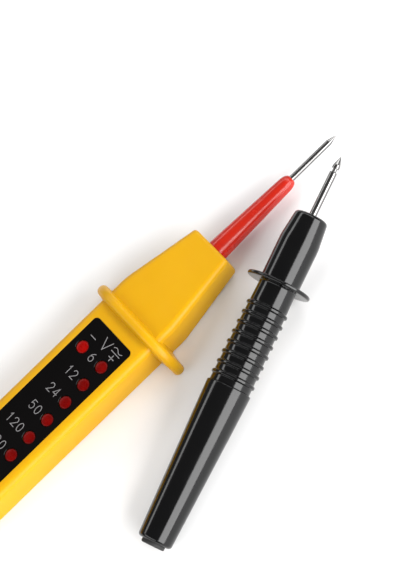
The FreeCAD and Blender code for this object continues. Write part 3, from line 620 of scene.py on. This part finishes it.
# rear cover with countersunk screw holes
plate = prism("back_cover", None, [(round_rect(C0.x + i, C1.x - i, C0.y + i, C1.y - i, 1.5 - i * 0.5, 1.5 - i * 0.5, 8, 4), zz)
                                   for i, zz in ((0.18, C0.z), (0.05, 0.05), (0.0, 0.18), (0.0, C1.z))], flat)
combine(plate, [joined("sinks", [lathe("sink", [(0, -0.3), (2.25, -0.3), (2.25, 0.0), (1.25, 0.95), (1.25, 2.3), (0, 2.3)],
                                       Matrix.Translation(Vector((x, y, 0))) @ RISE, 48) for x, y in screw_xy])], "DIFFERENCE")
shade(plate, 32.0)
weighted(plate)
stand_in(plate, "tester", "yellow_plastic", "yellow", "rear_cover")

# cover screws: countersunk, with a tapered cross recess
screws = []
for x, y in screw_xy:
    at = Matrix.Translation(Vector((x, y, 0)))
    s = lathe("cover_screw", [(0, 0.05), (2.0, 0.05, 0.06), (2.0, 0.2, 0.05), (1.05, 1.15, 0.1), (1.05, 7.4, 0.2), (0.4, 8.4, 0.2), (0, 8.4)],
              at @ RISE, 48)
    cross = []
    for depth, size in ((-0.2, 1.0), (0.9, 0.5)):
        a, b = 1.12 * size, 0.27 * (0.5 + size / 2)
        cross.append(([(x + u * 1.0, y + v * 1.0) for u, v in ((a, -b), (a, b), (b, b), (b, a), (-b, a), (-b, b), (-a, b), (-a, -b), (-b, -b),
                                                             (-b, -a), (b, -a), (b, -b))], depth))
    combine(s, [prism("recess", None, cross, flat)], "DIFFERENCE")
    screws.append(s)
group = joined("cover_screw_set", screws)
shade(group, 30.0)
stand_in(group, "tester", "screw_steel", "steel", "cover_screws")

# ------------------------------------------------------------------------------------------------------------------
# label panel with its printed marks: thin raised strokes of ink
# ------------------------------------------------------------------------------------------------------------------
panel = prism("label_plate", None, [(panel_outline(-i), zz) for i, zz in ((0.03, P0.z), (0.0, P0.z + 0.05), (0.0, top - 0.08), (0.025, top - 0.025), (0.08, top))], flat)
wins = []
for x, y in lamp_xy:
    wins.append(lathe("window", [(0, P0.z - 0.3), (2.2, P0.z - 0.3), (2.2, top - 0.06), (2.27, top + 0.01), (2.27, top + 0.4), (0, top + 0.4)],
                      Matrix.Translation(Vector((x, y, 0))) @ RISE, 72))
combine(panel, [joined("windows", wins)], "DIFFERENCE")
shade(panel, 30.0)
dress(panel, "panel")


def arc(cx, cy, rx, ry, a0, a1, n=20):
    return [(cx + rx * math.cos(math.radians(a0 + (a1 - a0) * i / n)), cy + ry * math.sin(math.radians(a0 + (a1 - a0) * i / n)))
            for i in range(n + 1)]


def glyph(ch, w, h):
    """Strokes of a plain sign in a box of w by h, its corner at the origin."""
    if ch == "0":
        return [arc(w / 2, h / 2, w / 2, h / 2, 0, 351, 40)]
    if ch == "1":
        return [[(0.28 * w, 0.8 * h), (0.6 * w, h), (0.6 * w, 0)]]
    if ch == "2":
        return [arc(0.5 * w, 0.73 * h, 0.48 * w, 0.27 * h, 172, -38, 18) + [(0.02 * w, 0), (w, 0)]]
    if ch == "3":
        return [arc(0.46 * w, 0.765 * h, 0.44 * w, 0.235 * h, 150, -90, 18), arc(0.46 * w, 0.265 * h, 0.52 * w, 0.265 * h, 86, -150, 20)]
    if ch == "4":
        return [[(0.74 * w, 0), (0.74 * w, h), (0, 0.3 * h), (w, 0.3 * h)]]
    if ch == "5":
        return [[(0.92 * w, h), (0.14 * w, h), (0.06 * w, 0.56 * h)] + arc(0.48 * w, 0.33 * h, 0.5 * w, 0.33 * h, 128, -146, 20)]
    if ch == "6":
        return [arc(1.0 * w, 0.31 * h, 1.0 * w, 0.69 * h, 104, 176, 12) + arc(0.5 * w, 0.31 * h, 0.5 * w, 0.31 * h, 180, 526, 30)]
    if ch == "V":
        return [[(0, h), (w / 2, 0), (w, h)]]
    if ch == "+":
        return [[(0, h / 2), (w, h / 2)], [(w / 2, 0), (w / 2, h)]]
    if ch == "-":
        return [[(0, h / 2), (w, h / 2)]]
    if ch == "~":
        return [[(w * i / 24.0, h / 2 + h / 2 * math.sin(2 * math.pi * i / 24.0)) for i in range(25)]]
    return []


def ribbon(name, pts, half_width, base, height):
    """A bar of ink along a line: mitred corners, round ends, softened top edges."""
    P = [Vector(p) for p in pts]
    sections = []
    n = len(P)
    for i, p in enumerate(P):
        d0 = (P[i] - P[i - 1]).normalized() if i else (P[1] - P[0]).normalized()
        d1 = (P[i + 1] - P[i]).normalized() if i < n - 1 else d0
        d = (d0 + d1).normalized()
        nrm = Vector((-d.y, d.x))
        wide = half_width / max(0.35, abs(nrm.dot(Vector((-d0.y, d0.x)))))
        if i == 0:
            for t in (80, 60, 40, 20):
                c = p - d * half_width * math.sin(math.radians(t))
                sections.append((c, nrm, half_width * math.cos(math.radians(t))))
        sections.append((p, nrm, wide))
        if i == n - 1:
            for t in (20, 40, 60, 80):
                c = p + d * half_width * math.sin(math.radians(t))
                sections.append((c, nrm, half_width * math.cos(math.radians(t))))
    verts, faces = [], []
    for c, nrm, w in sections:
        soft = min(0.02, w * 0.3)
        for off, zz in ((-w, base - 0.01), (-w, base + height * 0.6), (-w + soft, base + height), (w - soft, base + height),
                        (w, base + height * 0.6), (w, base - 0.01)):
            q = c + nrm * off
            verts.append((q.x, q.y, zz))
    for i in range(len(sections) - 1):
        for j in range(6):
            k = (j + 1) % 6
            faces.append((i * 6 + j, i * 6 + k, (i + 1) * 6 + k, (i + 1) * 6 + j))
    faces.append(tuple(range(6)))
    faces.append(tuple(reversed(range((len(sections) - 1) * 6, len(sections) * 6))))
    return make_object(name, verts, faces, angle=40.0)


marks = []


def write(text, left, low, w, h, pitch, thick=0.15):
    for i, ch in enumerate(text):
        for stroke in glyph(ch, w, h):
            marks.append(ribbon("ink", [(left + pitch * i + px, low + py) for px, py in stroke], thick, top, 0.02))


row_y = [y for x, y in lamp_xy[1:]]
write("V", 0.58 - 1.55, P1.y - 5.9, 3.1, 3.8, 0, 0.135)
write("~", 5.07 - 1.9, P1.y - 3.15, 3.8, 0.9, 0, 0.125)
write("-", 5.07 - 1.9, P1.y - 3.9, 3.8, 0.0, 0, 0.125)
write("+", 5.07 - 1.1, P1.y - 6.75, 2.2, 2.1, 0, 0.14)
write("-", -4.4 - 1.13, P1.y - 5.3, 2.26, 0.0, 0, 0.14)
for label, y in zip(("6", "12", "24", "50", "120", "230", "400"), row_y):
    w, h, pitch = 1.6, 2.95, 2.6
    write(label, 1.02 - w - pitch * (len(label) - 1), y - h / 2, w, h, pitch, 0.12)
ink = joined("ink_marks", marks)
dress(ink, "print")
label = joined("label_plate_with_print", [panel, ink])
shade(label, 30.0)
weighted(label)
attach(label, "tester")
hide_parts("label_panel")

# ------------------------------------------------------------------------------------------------------------------
# lamps
# ------------------------------------------------------------------------------------------------------------------
def lamp(x, y, bright):
    at = Matrix.Translation(Vector((x, y, 0)))
    lo, hi = L0.z, L1.z
    body = lathe("lens", [(0, BRD1.z), (2.4, BRD1.z, 0.08), (2.4, BRD1.z + 1.0, 0.15), (2.12, BRD1.z + 1.0, 0.12), (2.12, hi - 0.14, 0.55),
                          (1.0, hi, 2.5), (0, hi)], at @ RISE, 64, 1.0)
    legs = []
    for s in (-1, 1):
        sq = [(x + dx * 0.25, y + s * 1.27 + dy * 0.25) for dx, dy in ((-1, -1), (1, -1), (1, 1), (-1, 1))]
        legs.append(prism("leg", None, [(sq, lo), (sq, BRD1.z + 0.05)], flat))
    dress(body, "led_bright" if bright else "led")
    for g in legs:
        dress(g, "steel")
    return [body] + legs


for name, spots, bright in (("polarity_leds", lamp_xy[:2], (True, False)), ("voltage_leds", lamp_xy[2:], (False,) * 6)):
    parts = []
    for (x, y), b in zip(spots, bright):
        parts += lamp(x, y, b)
    ob = joined(name.replace("leds", "lamps"), parts)
    shade(ob, 40.0)
    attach(ob, "tester")
    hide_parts(name)

# ------------------------------------------------------------------------------------------------------------------
# turned pieces of the hand unit
# ------------------------------------------------------------------------------------------------------------------
nose_len, nose_r, base_r = 3.4, 2.48, (SL1.x - SL0.x) / 2
prof = [(1.55, SL0.y), (3.0, SL0.y, 0.2), (3.0, head_end, 0.0), (base_r, head_end, 0.12)]
for k in range(15):
    t = math.radians(6.0 * k)
    prof.append((1.1 + (nose_r - 1.1) * math.cos(t), SL1.y - nose_len + nose_len * math.sin(t)))
prof += [(1.06, SL1.y - 0.03), (1.04, SL1.y - 0.2), (1.04, SL1.y - 8.9), (1.55, SL1.y - 8.9)]
sleeve = lathe("red_sleeve", prof, PIN, 112, 1.2, closed=True, angle=40.0)
stand_in(sleeve, "tester", "red_plastic", "red", "probe_sleeve")

tpin = lathe("fixed_test_pin", [(0, TP0.y), (1.5, TP0.y, 0.3), (1.5, SL1.y - 9.1, 0.1), (0.99, SL1.y - 9.1, 0.02), (0.99, TP1.y - 3.1, 1.2),
                                (0.16, TP1.y - 0.1, 0.08), (0, TP1.y)], PIN, 72, 1.0, angle=30.0)
stand_in(tpin, "tester", "nickel_pin", "pin", "tester_pin")

flange, neck, bore = 4.5, 3.4, 1.8
gl = lathe("cable_gland", [(bore, G0.y, 0.25), (flange, G0.y, 0.6), (flange, rear, 0.15), (neck, rear, 0.1), (neck, rear + 3.0, 0.1),
                           (flange - 0.4, rear + 3.0, 0.15), (flange - 0.4, G1.y, 0.4), (bore, G1.y, 0.2)], GLAND, 72, 0.8, closed=True)
stand_in(gl, "tester", "black_rubber", "rubber", "lead_gland")

# ------------------------------------------------------------------------------------------------------------------
# the separate probe: handle with nose, disc and eight rings, tail sleeve, barbed pin and lead bush
# ------------------------------------------------------------------------------------------------------------------
pts = [(1.24, 23.2, 0.1), (5.25, 23.2, 1.15), (6.25, 14.6, 12.0), (6.2, 0.6, 0.55), (10.2, 0.6, 0.55), (10.2, -0.6, 0.55), (5.9, -0.6, 0.5)]
slope = 0.6 / 34.0
for k in range(8):
    y0 = 7.54 + 3.31 * k
    y1 = y0 + 1.2
    r = (13.3 + 0.7 * k / 7.0) / 2
    pts += [(5.9 + slope * y0, -(y0 - 0.1), 0.3), (r, -(y0 + 0.2), 0.4), (r, -(y1 - 0.2), 0.4), (5.9 + slope * y1, -(y1 + 0.1), 0.3)]
pts += [(6.5, -33.98, 0.1), (4.8, -33.98, 0.05), (4.8, -45.2, 0.3), (3.2, -45.2, 0.1), (3.2, 8.0, 0.1), (1.24, 8.0, 0.05)]
handle = lathe("probe_grip", pts, PROBE, 128, 1.0, closed=True, angle=50.0, corner=5)
stand_in(handle, "probe", "black_plastic", "black", "probe_handle")

tail = lathe("probe_rear_sleeve", [(4.9, -34.02, 0.1), (7.1, -34.02, 0.4), (6.75, -46.0, 10.0), (5.37, -85.0, 1.7), (3.1, -85.0, 0.15),
                                   (3.1, -82.0, 0.05), (3.8, -82.0, 0.05), (3.8, -46.2, 0.05), (4.9, -46.2, 0.05)], PROBE, 128, 1.6, closed=True, angle=50.0)
stand_in(tail, "probe", "black_plastic", "black", "probe_tail")

ppin = lathe("barbed_probe_pin", [(0, 0.0), (1.5, 0.0, 0.2), (1.5, 7.9, 0.05), (1.19, 7.9, 0.02), (1.19, 38.1, 0.25), (0.7, 38.42, 0.15), (0.7, 39.4, 0.12),
                                  (1.16, 39.42, 0.08), (1.19, 39.85, 0.3), (1.08, 40.7, 1.0), (0.16, 43.4, 0.08), (0, 43.5)], PROBE, 72, 0.8, angle=30.0)
stand_in(ppin, "probe", "nickel_pin", "pin", "probe_pin")

bush = lathe("lead_bush", [(1.8, -86.2, 0.2), (3.7, -86.2, 0.5), (3.7, -85.0, 0.1), (3.0, -85.0, 0.05), (3.0, -82.0, 0.05), (3.7, -82.0, 0.1),
                           (3.7, -80.8, 0.3), (1.8, -80.8, 0.2)], PROBE, 72, 0.7, closed=True)
stand_in(bush, "probe", "black_rubber", "rubber", "probe_lead_bush")

# ------------------------------------------------------------------------------------------------------------------
# camera, floor and light
# ------------------------------------------------------------------------------------------------------------------
scene = bpy.context.scene
phi, theta = math.radians(28.0), math.radians(0.0)
back = Vector((math.sin(phi) * math.cos(theta), math.sin(theta), math.cos(phi) * math.cos(theta)))
right0 = Vector((math.cos(phi), 0.0, -math.sin(phi)))
up0 = back.cross(right0)
roll = math.radians(90.0 - 44.2)     # the hand unit points to the upper right
right = right0 * math.cos(roll) + up0 * math.sin(roll)
up = -right0 * math.sin(roll) + up0 * math.cos(roll)
target = mm((4.855, 22.2, 6.0))
cam_data = bpy.data.cameras.new("camera")
cam_data.lens = 150.0
cam_data.sensor_width = 36.0
tall = 570 * 0.305 * MM
dist = tall * cam_data.lens / 36.0
cam = bpy.data.objects.new("camera", cam_data)
scene.collection.objects.link(cam)
cam.matrix_world = Matrix.Translation(target + back * dist) @ Matrix((right, up, back)).transposed().to_4x4()
cam_data.clip_start = 0.01
cam_data.clip_end = 20.0
scene.camera = cam

floor_mat, nt, sh, co = new_mat("pale_floor")
nt.links.new(ramp(nt, noise(nt, co, 3.0, 2.0), [(0.3, (0.86, 0.86, 0.86)), (0.7, (0.88, 0.88, 0.88))]), sh.inputs["Base Color"])
sh.inputs["Roughness"].default_value = 0.9
sh.inputs["Specular IOR Level"].default_value = 0.1
me = bpy.data.meshes.new("floor")
s = 3.0
me.from_pydata([(-s, -s, -0.00002), (s, -s, -0.00002), (s, s, -0.00002), (-s, s, -0.00002)], [], [(0, 1, 2, 3)])
floor = bpy.data.objects.new("floor", me)
scene.collection.objects.link(floor)
me.materials.append(floor_mat)

world = bpy.data.worlds.new("world")
scene.world = world
world.use_nodes = True
wn = world.node_tree
bg = wn.nodes["Background"]
bg.inputs["Color"].default_value = (1.0, 1.0, 1.0, 1.0)
bg.inputs["Strength"].default_value = 0.2


def area(name, pos, look, size, power, spin=0.0):
    data = bpy.data.lights.new(name, "AREA")
    data.shape = "RECTANGLE"
    data.size, data.size_y = size
    data.energy = power
    ob = bpy.data.objects.new(name, data)
    scene.collection.objects.link(ob)
    d = (Vector(look) - Vector(pos)).normalized()
    ob.matrix_world = Matrix.Translation(Vector(pos)) @ d.to_track_quat("-Z", "Y").to_matrix().to_4x4() @ Matrix.Rotation(math.radians(spin), 4, "Z")
    return ob


area("key", (-0.2, 0.8, 0.8), (0.0, 0.02, 0.0), (1.1, 0.36), 4.9)
area("side", (0.71, 0.283, 0.32), (0.03, 0.03, 0.0), (1.1, 0.62), 16.5)
area("left", (-0.72, 0.05, 0.54), (0.0, 0.03, 0.0), (1.1, 0.2), 2.8)
area("foot", (0.05, -0.8, 0.6), (0.02, 0.03, 0.0), (1.4, 0.4), 6.2)
scene.view_settings.view_transform = "Standard"
scene.view_settings.look = "None"
scene.view_settings.exposure = 0.0
